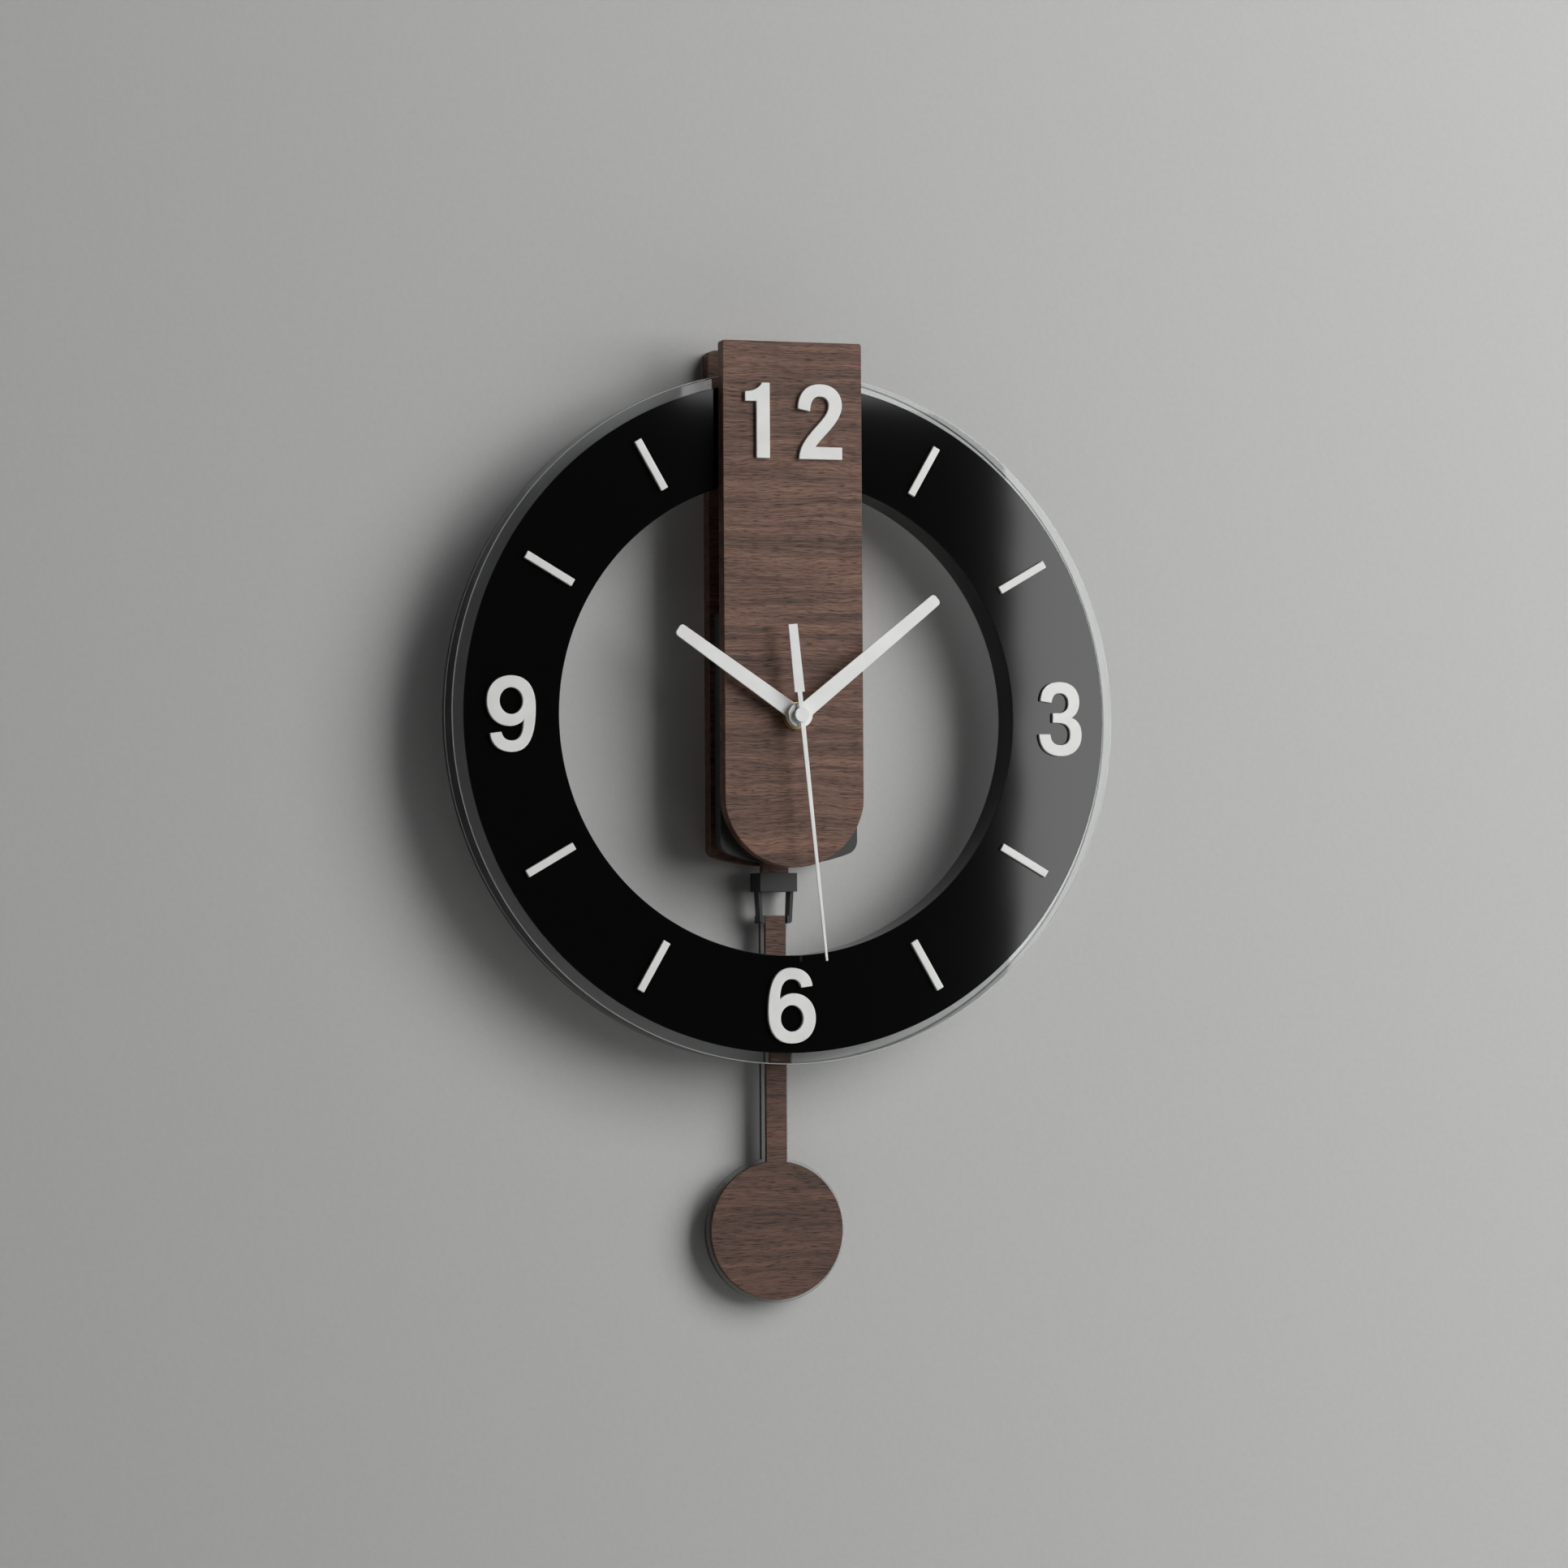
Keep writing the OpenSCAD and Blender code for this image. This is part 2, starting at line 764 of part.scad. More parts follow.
module rotor() {
    color(gear_dark)
    at_axis(rotor_at) {
        rod_between(arbor_r, case_back + 0.7, plate_layer + plate_t + 0.3);
        slab(first_layer, first_layer + wheel_t)
            gear_outline(pinion_n, first_m, rotor_phase);
        rod_between(magnet_r, first_layer + wheel_t, stator_at + 1.6);
    }
}

module intermediate_wheel() {
    color(gear_white)
    at_axis(first_at) {
        rod_between(arbor_r, case_back + 0.7, plate_layer + plate_t + 0.3);
        slab(first_layer, first_layer + wheel_t)
            gear_outline(first_n, first_m, 0);
        slab(first_layer + wheel_t, second_layer + wheel_t + 0.2)
            gear_outline(pinion_n, second_m, first_pinion_phase);
    }
}

module second_wheel() {
    color(gear_white)
    at_axis() {
        rod_between(second_shaft_r, first_layer + wheel_t + 0.4, second_hand_at + hand_t);
        slab(second_layer, second_layer + wheel_t)
            gear_outline(second_n, second_m, 0);
        slab(second_layer + wheel_t, third_layer + wheel_t + 0.1)
            gear_outline(pinion_n, third_m, 0);
    }
}

module third_wheel() {
    color(gear_white)
    at_axis(third_at) {
        rod_between(arbor_r, case_back + 0.7, plate_layer + plate_t + 0.3);
        slab(third_layer, third_layer + wheel_t)
            gear_outline(third_n, third_m, third_phase);
        slab(third_layer + wheel_t, centre_layer + wheel_t + 0.2)
            gear_outline(pinion_n, centre_m, 0);
    }
}

module centre_wheel() {
    color(gear_white)
    at_axis()
        difference() {
            slab(centre_layer, centre_layer + wheel_t)
                gear_outline(centre_n, centre_m, centre_phase);
            rod_between(minute_pipe_r + fit_gap, centre_layer - 1, centre_layer + wheel_t + 1);
        }
}

module minute_pipe() {
    color(brass_tone)
    at_axis()
        difference() {
            union() {
                rod_between(minute_pipe_r, centre_layer - 0.2, minute_hand_at + hand_t);
                slab(motion_layer, motion_layer + motion_t)
                    gear_outline(cannon_n, cannon_m, 0, 0.8);
            }
            rod_between(second_shaft_r + fit_gap, centre_layer - 1, minute_hand_at + hand_t + 1);
        }
}

module motion_wheel() {
    color(gear_white)
    at_axis(motion_at)
        difference() {
            union() {
                slab(motion_layer, motion_layer + motion_t)
                    gear_outline(motion_n, cannon_m, motion_phase);
                slab(motion_layer + motion_t, hour_layer + motion_t)
                    gear_outline(cannon_n, hour_m, 0, 0.8);
            }
            rod_between(post_r + fit_gap, motion_layer - 1, hour_layer + motion_t + 1);
        }
}

module hour_wheel() {
    color(gear_white)
    at_axis()
        difference() {
            union() {
                slab(hour_layer, hour_layer + motion_t)
                    gear_outline(hour_n, hour_m, hour_phase);
                rod_between(hour_pipe_r, hour_layer, hour_hand_at + hand_t);
            }
            rod_between(minute_pipe_r + fit_gap, hour_layer - 1, hour_hand_at + hand_t + 1);
        }
}

setting_rim_r = case_w / 2 + 1.5 - setting_at[0];

module setting_wheel() {
    color(gear_dark)
    at_axis(setting_at)
        difference() {
            union() {
                slab(motion_layer, motion_layer + motion_t)
                    gear_outline(setting_n, cannon_m, setting_phase);
                slab(motion_layer + motion_t, hour_layer - 0.8)
                    circle(r = 4);
                slab(hour_layer - 0.8, hour_layer + 1.6)
                    gear_outline(48, 2 * setting_rim_r / 48 * 0.97, 0, 0.4);
            }
            rod_between(post_r + fit_gap, motion_layer - 1, inner_front);
        }
}

// ---------- electrics ----------

board_layer = inner_front - 4;
board_at = [0, -33.5];

module circuit_board() {
    color(circuit_green)
    at_axis(board_at)
        slab(board_layer, board_layer + 1.2)
            square([36, 13], center = true);
}

module quartz_crystal() {
    color(steel_tone)
    at_axis([board_at[0] + 9, board_at[1] + 1])
        translate([0, -board_layer + 1, 0])
            rotate([0, 90, 0])
                cylinder(h = 8, r = 1, center = true);
}

drive_down = 50;

module pendulum_coil() {
    color(copper_tone)
    at_axis([0, -drive_down])
        tube_between(8.5, 2.5, inner_back, inner_back + 4.5);
}

module battery() {
    color(cell_grey)
    at_axis([0, battery_up])
        translate([-battery_len / 2, -battery_depth, 0])
            rotate([0, 90, 0]) {
                cylinder(h = battery_len - 1.2, r = battery_r);
                cylinder(h = battery_len, r = 2.6);
            }
}

contact_t = 0.5;

module battery_contacts() {
    color(steel_tone)
    at_axis([0, battery_up])
        translate([0, -battery_depth, 0])
            for (x = [-battery_len / 2 - contact_t, battery_len / 2])
                translate([x + contact_t / 2, 0, -1])
                    cube([contact_t, 9, 11], center = true);
}

module battery_door() {
    color(black_satin)
    at_axis([0, battery_up])
        translate([case_w / 2, -battery_depth, 0])
            rotate([0, 90, 0]) {
                cylinder(h = door_t, r = bay_r + 1.1);
                translate([0, 0, -3])
                    cylinder(h = 3.2, r = bay_r - 0.35);
            }
}

// ---------- hands ----------

// Hand that tapers from the hub to a tip with rounded corners
module hand_outline(len, w_hub, w_tip, corner) {
    polygon(concat(
        [[-w_hub / 2, 0]],
        arc([-w_tip / 2 + corner, len - corner], corner, 180, 90, 6),
        arc([w_tip / 2 - corner, len - corner], corner, 90, 0, 6),
        [[w_hub / 2, 0]]
    ));
}

minute_angle = show_minute * 6;
hour_angle = show_hour * 30 + show_minute / 2;
second_angle = (show_minute - floor(show_minute)) * 360;

module hour_hand() {
    color(white_paint)
    at_axis()
        difference() {
            union() {
                slab(hour_hand_at, hour_hand_at + hand_t)
                    rotate(-hour_angle)
                        hand_outline(hour_len, hour_w, 5.5, 1.6);
                rod_between(hub_r, hour_hand_at - 0.7, hour_hand_at + hand_t + 0.5);
            }
            rod_between(hour_pipe_r, hour_hand_at - 1, hour_hand_at + hand_t + 1);
        }
}

module minute_hand() {
    color(white_paint)
    at_axis()
        difference() {
            union() {
                slab(minute_hand_at, minute_hand_at + hand_t)
                    rotate(-minute_angle)
                        hand_outline(minute_len, minute_w, 5.2, 1.6);
                rod_between(hub_r, minute_hand_at - 0.7, minute_hand_at + hand_t + 0.5);
            }
            rod_between(minute_pipe_r, minute_hand_at - 1,
                minute_hand_at + hand_t + 1);
        }
}

module second_hand() {
    color(white_paint)
    at_axis()
        difference() {
            union() {
                slab(second_hand_at, second_hand_at + 0.5)
                    rotate(-second_angle)
                        polygon([
                            [-1.1, -tail_len / 4], [-2.3, -tail_len / 4], [-2.05, -tail_len],
                            [2.05, -tail_len], [2.3, -tail_len / 4], [1.1, -tail_len / 4],
                            [1.1, 0], [0.55, second_len], [-0.55, second_len], [-1.1, 0]
                        ]);
                rod_between(3.3, second_hand_at - 1, second_hand_at + 1.3);
            }
            rod_between(second_shaft_r, second_hand_at - 2,
                second_hand_at + hand_t);
        }
}

// ---------- pendulum ----------

module pivot_pin() {
    color(steel_tone)
    at_axis([0, pivot_up])
        rod_between(pivot_r, back_t + 0.2, inner_back);
}

module pivot_clip() {
    color(steel_tone)
    at_axis([0, pivot_up])
        tube_between(2.6, pivot_r, back_t + 0.2, arm_back - 0.2);
}

module pendulum_arm() {
    color(walnut)
    at_axis()
        difference() {
            slab(arm_back, arm_front)
                union() {
                    translate([0, pivot_up])
                        circle(r = arm_w / 2);
                    translate([-arm_w / 2, yoke_top - 3])
                        square([arm_w, pivot_up - yoke_top + 3]);
                }
            translate([0, 0, pivot_up])
                rod_between(bushing_r, arm_back - 1, arm_front + 1);
            translate([0, 0, -drive_down])
                rod_between(3.5, arm_front - 1.8, arm_front + 1);
        }
}

module arm_bushing() {
    color(brass_tone)
    at_axis([0, pivot_up])
        tube_between(bushing_r, pivot_r + fit_gap, arm_back, arm_front + 0.7);
}

module arm_magnet() {
    color(steel_tone)
    at_axis([0, -drive_down])
        rod_between(3.5, arm_front - 1.8, arm_front + 0.5);
}

yoke_front = rod_front + 0.8;
yoke_back = rod_back - 1.6;
leg_top_w = 16.2;
grip_w = rod_w + 2 * clear_margin;
leg_foot_w = grip_w + 2 * yoke_wall;

module yoke_legs_plan() {
    difference() {
        polygon([
            [-leg_top_w / 2, yoke_top - yoke_box_h + 0.5], [leg_top_w / 2, yoke_top - yoke_box_h + 0.5],
            [leg_foot_w / 2, yoke_foot + 0.8], [leg_foot_w / 2 - 0.8, yoke_foot],
            [0.8 - leg_foot_w / 2, yoke_foot], [-leg_foot_w / 2, yoke_foot + 0.8]
        ]);
        polygon([
            [-leg_top_w / 2 + yoke_wall, yoke_top], [leg_top_w / 2 - yoke_wall, yoke_top],
            [grip_w / 2, rod_top], [grip_w / 2, yoke_foot - 1],
            [-grip_w / 2, yoke_foot - 1], [-grip_w / 2, rod_top]
        ]);
    }
}

module pendulum_yoke() {
    color(black_satin)
    at_axis()
        difference() {
            union() {
                slab(2.5, yoke_front + 4)
                    translate([-yoke_box_w / 2, yoke_top - yoke_box_h])
                        square([yoke_box_w, yoke_box_h]);
                slab(rod_back, yoke_front)
                    yoke_legs_plan();
                slab(yoke_back, rod_back)
                    translate([-leg_foot_w / 2, yoke_foot])
                        square([leg_foot_w, rod_top - yoke_foot]);
                for (s = [-1, 1])
                    slab(rod_mid, yoke_front)
                        translate([s * (grip_w - clear_margin + 0.4) / 2
                            - (clear_margin - 0.4) / 2, yoke_foot])
                            square([clear_margin - 0.4, rod_top - yoke_foot]);
            }
            slab(arm_back, arm_front)
                translate([-arm_w / 2, yoke_top - 3])
                    square([arm_w, 4]);
            translate([0, 0, (rod_top + yoke_foot) / 2])
                rod_between(0.8, yoke_back - 1, rod_mid);
        }
}

module yoke_pin() {
    color(steel_tone)
    at_axis([0, (rod_top + yoke_foot) / 2]) {
        rod_between(0.8, yoke_back, rod_mid);
        rod_between(1.6, yoke_back - 0.7, yoke_back);
    }
}

// Rod and disc in one outline, with sharp inner corners where they meet
module rod_and_disc(w, r) {
    join = sqrt(r * r - w * w / 4);
    tilt = asin(w / 2 / r);
    polygon(concat(
        [[-w / 2, rod_top]],
        arc([0, -bob_down], r, 90 + tilt, 450 - tilt, 96),
        [[w / 2, rod_top]]
    ));
}

module rod_sheet() {
    color(clear_tint)
    at_axis()
        difference() {
            slab(rod_back, rod_mid)
                rod_and_disc(rod_w + 2 * clear_margin, bob_r + clear_margin);
            translate([0, 0, (rod_top + yoke_foot) / 2])
                rod_between(0.8, rod_back - 1, rod_mid + 1);
        }
}

module rod_veneer() {
    color(walnut)
    at_axis()
        slab(rod_mid, rod_front)
            rod_and_disc(rod_w, bob_r);
}

back_board();
hanger_plate();
hanger_screws();
front_board();
dial_ring();
dial_face();
dial_lining();
hour_bars();
numeral_12();
numeral_3();
numeral_6();
numeral_9();
ring_spacers();
ring_screws();
case_standoffs();
standoff_screws();
movement_case();
case_back_cover();
cover_screws();
bearing_plate();
threaded_bush();
rubber_washer();
brass_nut();
motor_stator();
motor_coil();
rotor();
intermediate_wheel();
second_wheel();
third_wheel();
centre_wheel();
minute_pipe();
motion_wheel();
hour_wheel();
setting_wheel();
circuit_board();
quartz_crystal();
pendulum_coil();
battery();
battery_contacts();
battery_door();
hour_hand();
minute_hand();
second_hand();
pivot_pin();
pivot_clip();
pendulum_arm();
arm_bushing();
arm_magnet();
pendulum_yoke();
yoke_pin();
rod_sheet();
rod_veneer();
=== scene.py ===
# Pendulum wall clock: finishes, softened edges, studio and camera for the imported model.
# Metres, X to the right, Z up, Y into the wall. The wall is the plane y = 0.
import math
import bpy
from mathutils import Matrix, Vector
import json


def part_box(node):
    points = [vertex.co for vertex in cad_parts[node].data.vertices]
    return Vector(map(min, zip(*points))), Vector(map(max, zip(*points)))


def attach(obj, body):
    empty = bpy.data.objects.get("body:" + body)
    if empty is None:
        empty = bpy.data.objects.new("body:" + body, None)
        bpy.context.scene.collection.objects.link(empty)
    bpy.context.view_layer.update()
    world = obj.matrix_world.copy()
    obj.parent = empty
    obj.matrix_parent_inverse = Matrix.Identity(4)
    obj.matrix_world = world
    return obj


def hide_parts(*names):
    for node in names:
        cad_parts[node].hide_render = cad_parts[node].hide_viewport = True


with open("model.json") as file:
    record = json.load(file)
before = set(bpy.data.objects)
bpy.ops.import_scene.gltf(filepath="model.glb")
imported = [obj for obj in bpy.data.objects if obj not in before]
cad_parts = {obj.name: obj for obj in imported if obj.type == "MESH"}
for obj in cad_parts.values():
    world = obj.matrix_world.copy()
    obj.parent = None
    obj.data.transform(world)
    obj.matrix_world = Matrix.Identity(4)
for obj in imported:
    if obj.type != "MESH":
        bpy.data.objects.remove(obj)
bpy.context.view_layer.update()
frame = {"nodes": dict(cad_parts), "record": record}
bodyOfNode = {n: b for b, names in frame["record"]["behaviour"]["bodies"].items() for n in names}
mm = 0.001

ringLow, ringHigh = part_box("dial_ring")
handAxis = Vector((0, 0, (ringLow.z + ringHigh.z) / 2))   # where the hands' axis crosses the wall
print("frame loaded:", len(frame["nodes"]), "nodes")


# ---------- helpers for materials ----------

def toLinear(hexColour):
    shares = [int(hexColour[i:i + 2], 16) / 255 for i in (1, 3, 5)]
    linear = [s / 12.92 if s <= 0.04045 else ((s + 0.055) / 1.055) ** 2.4 for s in shares]
    return (*linear, 1.0)


def addNode(material, kind, options={}, inputs={}):
    # options are the node's own settings, inputs hold numbers, colours or the outputs to link
    node = material.node_tree.nodes.new("ShaderNode" + kind)
    for name, value in options.items():
        if name == "stops":   # a colour ramp's places and colours, in order
            ramp = node.color_ramp
            for place, colour in value[1:-1]:
                ramp.elements.new(place)
            for element, (place, colour) in zip(ramp.elements, value):
                element.color = toLinear(colour)
            ramp.elements[0].position = value[0][0]
            ramp.elements[len(value) - 1].position = value[-1][0]
        else:
            setattr(node, name, value)
    for socket, value in inputs.items():
        if isinstance(value, bpy.types.NodeSocket):
            material.node_tree.links.new(value, node.inputs[socket])
        else:
            node.inputs[socket].default_value = toLinear(value) if isinstance(value, str) else value
    return node


def newFinish(name, look):
    # a material with its shader set to the plain values of the finish
    material = bpy.data.materials.new(name)
    material.use_nodes = True
    shader = material.node_tree.nodes["Principled BSDF"]
    for socket, value in look.items():
        shader.inputs[socket].default_value = toLinear(value) if isinstance(value, str) else value
    return material, shader


def millimetres(material, stretch=(1, 1, 1), centre=(0, 0, 0), turn=(0, 0, 0)):
    # the piece's own coordinates in millimetres; stretch makes a pattern longer along each axis
    place = addNode(material, "TexCoord").outputs["Object"]
    moved = addNode(material, "Mapping", {"vector_type": "POINT"}, {
        "Vector": place, "Location": tuple(-c for c in centre)})
    turned = addNode(material, "Mapping", {"vector_type": "POINT"}, {
        "Vector": moved.outputs[0], "Rotation": turn, "Scale": tuple(1000 / s for s in stretch)})
    return turned.outputs[0]


def giveBump(material, shader, height, deep, strength=1.0):
    bump = addNode(material, "Bump", {}, {"Height": height, "Distance": deep, "Strength": strength})
    material.node_tree.links.new(bump.outputs[0], shader.inputs["Normal"])


def join(material, output, shader, socket):
    material.node_tree.links.new(output, shader.inputs[socket])


# ---------- finishes ----------

# Oiled American walnut, planed and rubbed: long fine streaks along X, slow bands of lighter and
# darker wood, short open pores, and a soft sheen that follows the streaks.
grain = {   # lengths of each pattern in mm, along X, Y and Z
    "wave": (34, 22, 22), "band": (90, 4.5, 4.5), "streak": (26, 0.7, 0.6), "pore": (5, 0.35, 0.32),
    "bandShare": 0.42, "streakShare": 0.58, "poreDepth": -0.8, "relief": 0.12,
}


def makeWalnut(name, wood):
    material, shader = newFinish(name, {"IOR": 1.5, "Specular IOR Level": 0.35})
    shift = wood["shift"]
    wave = addNode(material, "TexNoise", {}, {
        "Vector": millimetres(material, grain["wave"], shift), "Scale": 1.0, "Detail": 2.0})
    waved = addNode(material, "VectorMath", {"operation": "MULTIPLY_ADD"}, {
        0: wave.outputs["Color"], 1: (0, 0, wood["sway"]),
        2: millimetres(material, (1, 1, 1), shift)})
    layer = {}
    for kind, detail, roughness in (("band", 3.0, 0.55), ("streak", 4.0, 0.65), ("pore", 2.0, 0.5)):
        stretched = addNode(material, "Mapping", {}, {
            "Vector": waved.outputs[0], "Scale": tuple(1 / size for size in grain[kind])})
        layer[kind] = addNode(material, "TexNoise", {}, {
            "Vector": stretched.outputs[0], "Scale": 1.0, "Detail": detail,
            "Roughness": roughness})
    poreMask = addNode(material, "ValToRGB", {"stops": [(0.0, "#FFFFFF"), (0.36, "#FFFFFF"),
                                                       (0.47, "#000000"), (1.0, "#000000")]},
                       {"Fac": layer["pore"].outputs["Fac"]})
    bandPart = addNode(material, "Math", {"operation": "MULTIPLY_ADD"}, {
        0: layer["band"].outputs["Fac"], 1: grain["bandShare"], 2: 0.0})
    figure = addNode(material, "Math", {"operation": "MULTIPLY_ADD"}, {
        0: layer["streak"].outputs["Fac"], 1: grain["streakShare"], 2: bandPart.outputs[0]})
    tone = addNode(material, "ValToRGB", {"stops": [(0.30, wood["dark"]), (0.43, wood["brown"]),
                                                   (0.53, wood["warm"]), (0.66, wood["light"])]},
                   {"Fac": figure.outputs[0]})
    coloured = addNode(material, "Mix", {"data_type": "RGBA", "blend_type": "MULTIPLY"}, {
        0: poreMask.outputs["Color"], 6: tone.outputs["Color"], 7: wood["pore"]})
    join(material, coloured.outputs[2], shader, "Base Color")
    rough = addNode(material, "MapRange", {}, {"Value": figure.outputs[0], "From Min": 0.3,
                                               "From Max": 0.7, "To Min": 0.62, "To Max": 0.46})
    join(material, rough.outputs[0], shader, "Roughness")
    height = addNode(material, "Math", {"operation": "MULTIPLY_ADD"}, {
        0: poreMask.outputs["Color"], 1: grain["poreDepth"],
        2: layer["streak"].outputs["Fac"]})
    giveBump(material, shader, height.outputs[0], grain["relief"] * mm, 0.6)
    return material


walnutFront = makeWalnut("oiled walnut, front board", {
    "dark": "#43342D", "brown": "#594238", "warm": "#745647", "light": "#886554",
    "pore": "#A5958D", "shift": (0.02, 0.0, 0.0), "sway": 6.0})
walnutBack = makeWalnut("oiled walnut, back board", {
    "dark": "#3E2E27", "brown": "#523A30", "warm": "#6A4A3D", "light": "#7C5646",
    "pore": "#A5958D", "shift": (0.31, 0.0, 0.11), "sway": 6.0})
walnutBob = makeWalnut("oiled walnut, pendulum", {
    "dark": "#3A2C26", "brown": "#4E3930", "warm": "#64483C", "light": "#745647",
    "pore": "#A5958D", "shift": (0.14, 0.0, 0.27), "sway": 5.0})


# Black cast acrylic, gloss: mirror-like with a very slow unevenness from casting and faint dust.
def makeBlackAcrylic():
    material, shader = newFinish("black cast acrylic", {
        "IOR": 1.49, "Specular IOR Level": 0.33})
    dust = addNode(material, "TexNoise", {}, {"Vector": millimetres(material), "Scale": 1.6,
                                             "Detail": 3.0, "Roughness": 0.7})
    tone = addNode(material, "ValToRGB", {"stops": [(0.0, "#070708"), (0.62, "#0A0A0A"),
                                                   (0.78, "#131313"), (1.0, "#1A1A1A")]},
                   {"Fac": dust.outputs["Fac"]})
    join(material, tone.outputs["Color"], shader, "Base Color")
    rough = addNode(material, "MapRange", {}, {"Value": dust.outputs["Fac"], "To Min": 0.04,
                                               "To Max": 0.06})
    join(material, rough.outputs[0], shader, "Roughness")
    slow = addNode(material, "TexNoise", {}, {"Vector": millimetres(material, (60, 60, 60)),
                                             "Scale": 1.0, "Detail": 1.0})
    giveBump(material, shader, slow.outputs["Fac"], 0.05 * mm)
    return material


# Clear cast acrylic with flame-polished edges: water-clear, a trace of grey-green, fine scuffs.
# On the rounded edges the sheet is made partly opaque and white: a painted highlight along the
# edges.
# Rays that only look for a lamp pass straight through, so the sheet casts a half-dark shadow.
def makeClearAcrylic():
    material, shader = newFinish("clear cast acrylic", {
        "Base Color": "#F7FAF9", "IOR": 1.49})
    scuffs = addNode(material, "TexNoise", {}, {"Vector": millimetres(material, (8, 8, 1)),
                                               "Scale": 0.8, "Detail": 4.0, "Roughness": 0.7})
    rough = addNode(material, "MapRange", {}, {"Value": scuffs.outputs["Fac"], "From Min": 0.45,
                                               "From Max": 0.8, "To Min": 0.012, "To Max": 0.05})
    join(material, rough.outputs[0], shader, "Roughness")
    facing = addNode(material, "SeparateXYZ", {}, {
        "Vector": addNode(material, "TexCoord").outputs["Normal"]})
    steep = addNode(material, "Math", {"operation": "ABSOLUTE"}, {0: facing.outputs["Y"]})
    rest = addNode(material, "Math", {"operation": "SUBTRACT"}, {0: 1.0, 1: steep.outputs[0]})
    edgeHighlightMask = addNode(material, "Math", {"operation": "MULTIPLY"}, {
        0: steep.outputs[0], 1: rest.outputs[0]})
    # painted highlight: less light passes through the rounded edges, so they show as a white band
    edgeHighlightShare = addNode(material, "MapRange", {}, {"Value": edgeHighlightMask.outputs[0], "From Min": 0.08,
                                                 "From Max": 0.2, "To Min": 1.0, "To Max": 0.35})
    join(material, edgeHighlightShare.outputs[0], shader, "Transmission Weight")
    clear = addNode(material, "BsdfTransparent", {}, {"Color": "#A3A6A5"})
    path = addNode(material, "LightPath")
    both = addNode(material, "MixShader", {}, {0: path.outputs["Is Shadow Ray"],
                                               1: shader.outputs[0], 2: clear.outputs[0]})
    output = material.node_tree.nodes["Material Output"]
    material.node_tree.links.new(both.outputs[0], output.inputs["Surface"])
    return material


# Surfaces with one even colour and a fine skin: moulded, painted or sprayed.
def makeSkin(name, skin):
    material, shader = newFinish(name, {"IOR": skin["ior"]})
    slow = addNode(material, "TexNoise", {}, {"Vector": millimetres(material, (14, 14, 14)),
                                             "Scale": 1.0, "Detail": 2.0})
    tone = addNode(material, "ValToRGB", {"stops": [(0.3, skin["low"]), (0.7, skin["high"])]},
                   {"Fac": slow.outputs["Fac"]})
    join(material, tone.outputs["Color"], shader, "Base Color")
    grit = skin["grit"]   # size of the skin's grain in mm
    fine = addNode(material, "TexNoise", {}, {"Vector": millimetres(material, (grit, grit, grit)),
                                             "Scale": 1.0, "Detail": 2.0, "Roughness": 0.6})
    rough = addNode(material, "MapRange", {}, {"Value": fine.outputs["Fac"], "From Min": 0.3,
                                               "From Max": 0.7, "To Min": skin["rough"] - 0.05,
                                               "To Max": skin["rough"] + 0.05})
    join(material, rough.outputs[0], shader, "Roughness")
    giveBump(material, shader, fine.outputs["Fac"], skin["deep"] * mm)
    return material


# White acrylic cut from sheet and left satin: the faces are even, the light rolls off the edges.
whiteAcrylic = makeSkin("white satin acrylic", {
    "low": "#DEDFDC", "high": "#E8E9E6", "ior": 1.49, "rough": 0.38, "grit": 0.35, "deep": 0.012})
# White lacquer sprayed on aluminium: a slight orange peel about half a millimetre across.
whiteLacquer = makeSkin("white sprayed lacquer", {
    "low": "#E3E4E2", "high": "#ECEDEB", "ior": 1.5, "rough": 0.33, "grit": 0.55, "deep": 0.012})
# Black ABS from a spark-eroded mould: matt, fine and even, with soft grey light on its edges.
blackAbs = makeSkin("black moulded ABS", {
    "low": "#1B1C1C", "high": "#222323", "ior": 1.54, "rough": 0.55, "grit": 0.3, "deep": 0.03})
# Acetal gears: waxy off-white.
acetal = makeSkin("off-white moulded acetal", {
    "low": "#DEDACB", "high": "#E8E5DA", "ior": 1.48, "rough": 0.36, "grit": 0.5, "deep": 0.008})
# Rubber washer, moulded: dull, with a dusty bloom.
rubber = makeSkin("black moulded rubber", {
    "low": "#181818", "high": "#242424", "ior": 1.52, "rough": 0.78, "grit": 0.4, "deep": 0.03})


# Turned brass: bright yellow metal with fine tool rings round the hands' axis.
def makeBrass():
    material, shader = newFinish("turned brass", {"Metallic": 1.0})
    rings = addNode(material, "TexWave", {"wave_type": "RINGS", "rings_direction": "Y"}, {
        "Vector": millimetres(material, (1, 1, 1), handAxis), "Scale": 1.4, "Distortion": 0.6,
        "Detail": 2.0})
    stain = addNode(material, "TexNoise", {}, {"Vector": millimetres(material, (2.5, 2.5, 2.5)),
                                              "Scale": 1.0, "Detail": 3.0})
    tone = addNode(material, "ValToRGB", {"stops": [(0.3, "#B58F45"), (0.7, "#D6B468")]},
                   {"Fac": stain.outputs["Fac"]})
    join(material, tone.outputs["Color"], shader, "Base Color")
    rough = addNode(material, "MapRange", {}, {"Value": stain.outputs["Fac"], "To Min": 0.22,
                                               "To Max": 0.4})
    join(material, rough.outputs[0], shader, "Roughness")
    giveBump(material, shader, rings.outputs["Fac"], 0.01 * mm)
    return material


